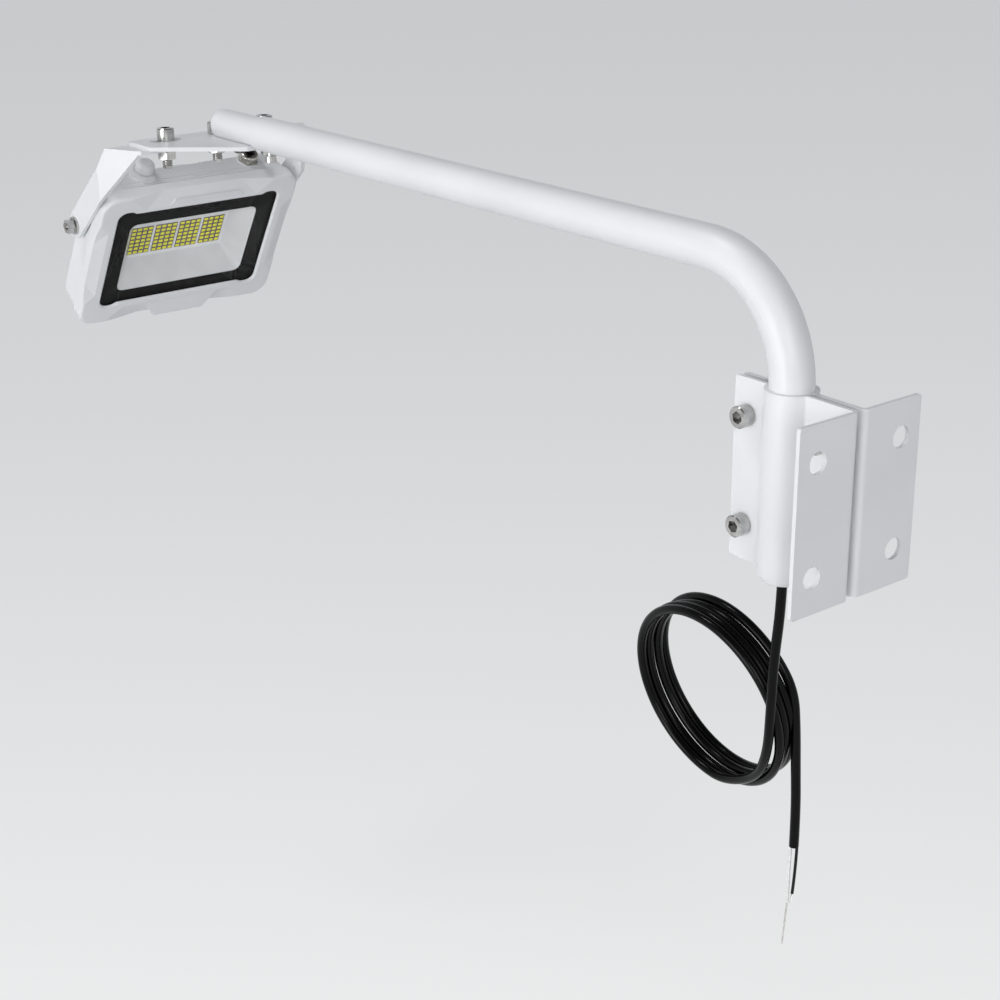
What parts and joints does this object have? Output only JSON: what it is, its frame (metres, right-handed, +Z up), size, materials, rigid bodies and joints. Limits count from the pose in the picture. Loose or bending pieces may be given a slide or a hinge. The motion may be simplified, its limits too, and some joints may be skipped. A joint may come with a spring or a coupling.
{
  "type": "led arm light",
  "caption": "Flood light on a long bent tube arm, held by a two-half wall clamp, with a tilting yoke, a turning spigot and a coiled cord.",
  "frame": {"origin": "centre of the four wall holes, on the face that meets the wall", "axes": "+Y into the wall, +Z up, +X along the wall; the arm reaches out along -Y"},
  "size_m": [0.1986, 0.7736, 0.4421],
  "materials": {
    "white_paint": "satin",
    "cast_white": "satin",
    "stainless": "satin",
    "white_rubber": "matte",
    "black_sheath": "satin",
    "black_insulation": "satin",
    "white_insulation": "satin",
    "gasket_rubber": "matte",
    "window_glass": "gloss",
    "black_print": "gloss",
    "reflector_white": "satin",
    "board_white": "satin",
    "phosphor_yellow": "satin",
    "driver_black": "matte",
    "plated_brass": "satin",
    "vent_white": "satin"
  },
  "bodies": {
    "wall_clamp": {"clamp_half_near": "white_paint", "clamp_half_far": "white_paint", "clamp_screws": "stainless", "clamp_nuts": "stainless"},
    "arm": {"arm_tube": "white_paint", "foot_bush": "white_rubber", "lock_screw": "stainless", "arm_cable": "black_sheath", "cord_run": "black_sheath", "cord_coil": "black_sheath", "cord_tail": "black_sheath", "black_core": "black_insulation", "white_core": "white_insulation"},
    "head_bracket": {"spigot": "white_paint", "head_plate": "white_paint", "yoke": "white_paint", "plate_bolts": "stainless", "plate_washers": "stainless", "plate_nuts": "stainless"},
    "lamp": {"housing": "cast_white", "bezel": "cast_white", "gasket": "gasket_rubber", "glass": "window_glass", "printed_border": "black_print", "reflector": "reflector_white", "led_board": "board_white", "led_chips": "phosphor_yellow", "driver_blocks": "driver_black", "gland_body": "plated_brass", "gland_nut": "plated_brass", "gland_seal": "gasket_rubber", "vent_body": "vent_white", "vent_cap": "vent_white", "side_bolts": "stainless", "case_screws": "stainless", "lamp_lead": "black_sheath"}
  },
  "joints": [
    {"name": "arm_pan", "type": "hinge", "parent": "wall_clamp", "child": "arm", "pos_m": [0, -0.0505, 0], "axis": [0, 0, 1], "range_deg": [-80, 80]},
    {"name": "spigot_roll", "type": "hinge", "parent": "arm", "child": "head_bracket", "pos_m": [0, -0.6, 0.1204], "axis": [0, 1, 0], "range_deg": [-90, 90]},
    {"name": "lamp_tilt", "type": "hinge", "parent": "head_bracket", "child": "lamp", "pos_m": [0, -0.7255, 0.0412], "axis": [1, 0, 0], "range_deg": [-60, 30], "deforming": ["lamp_lead"]}
  ]
}
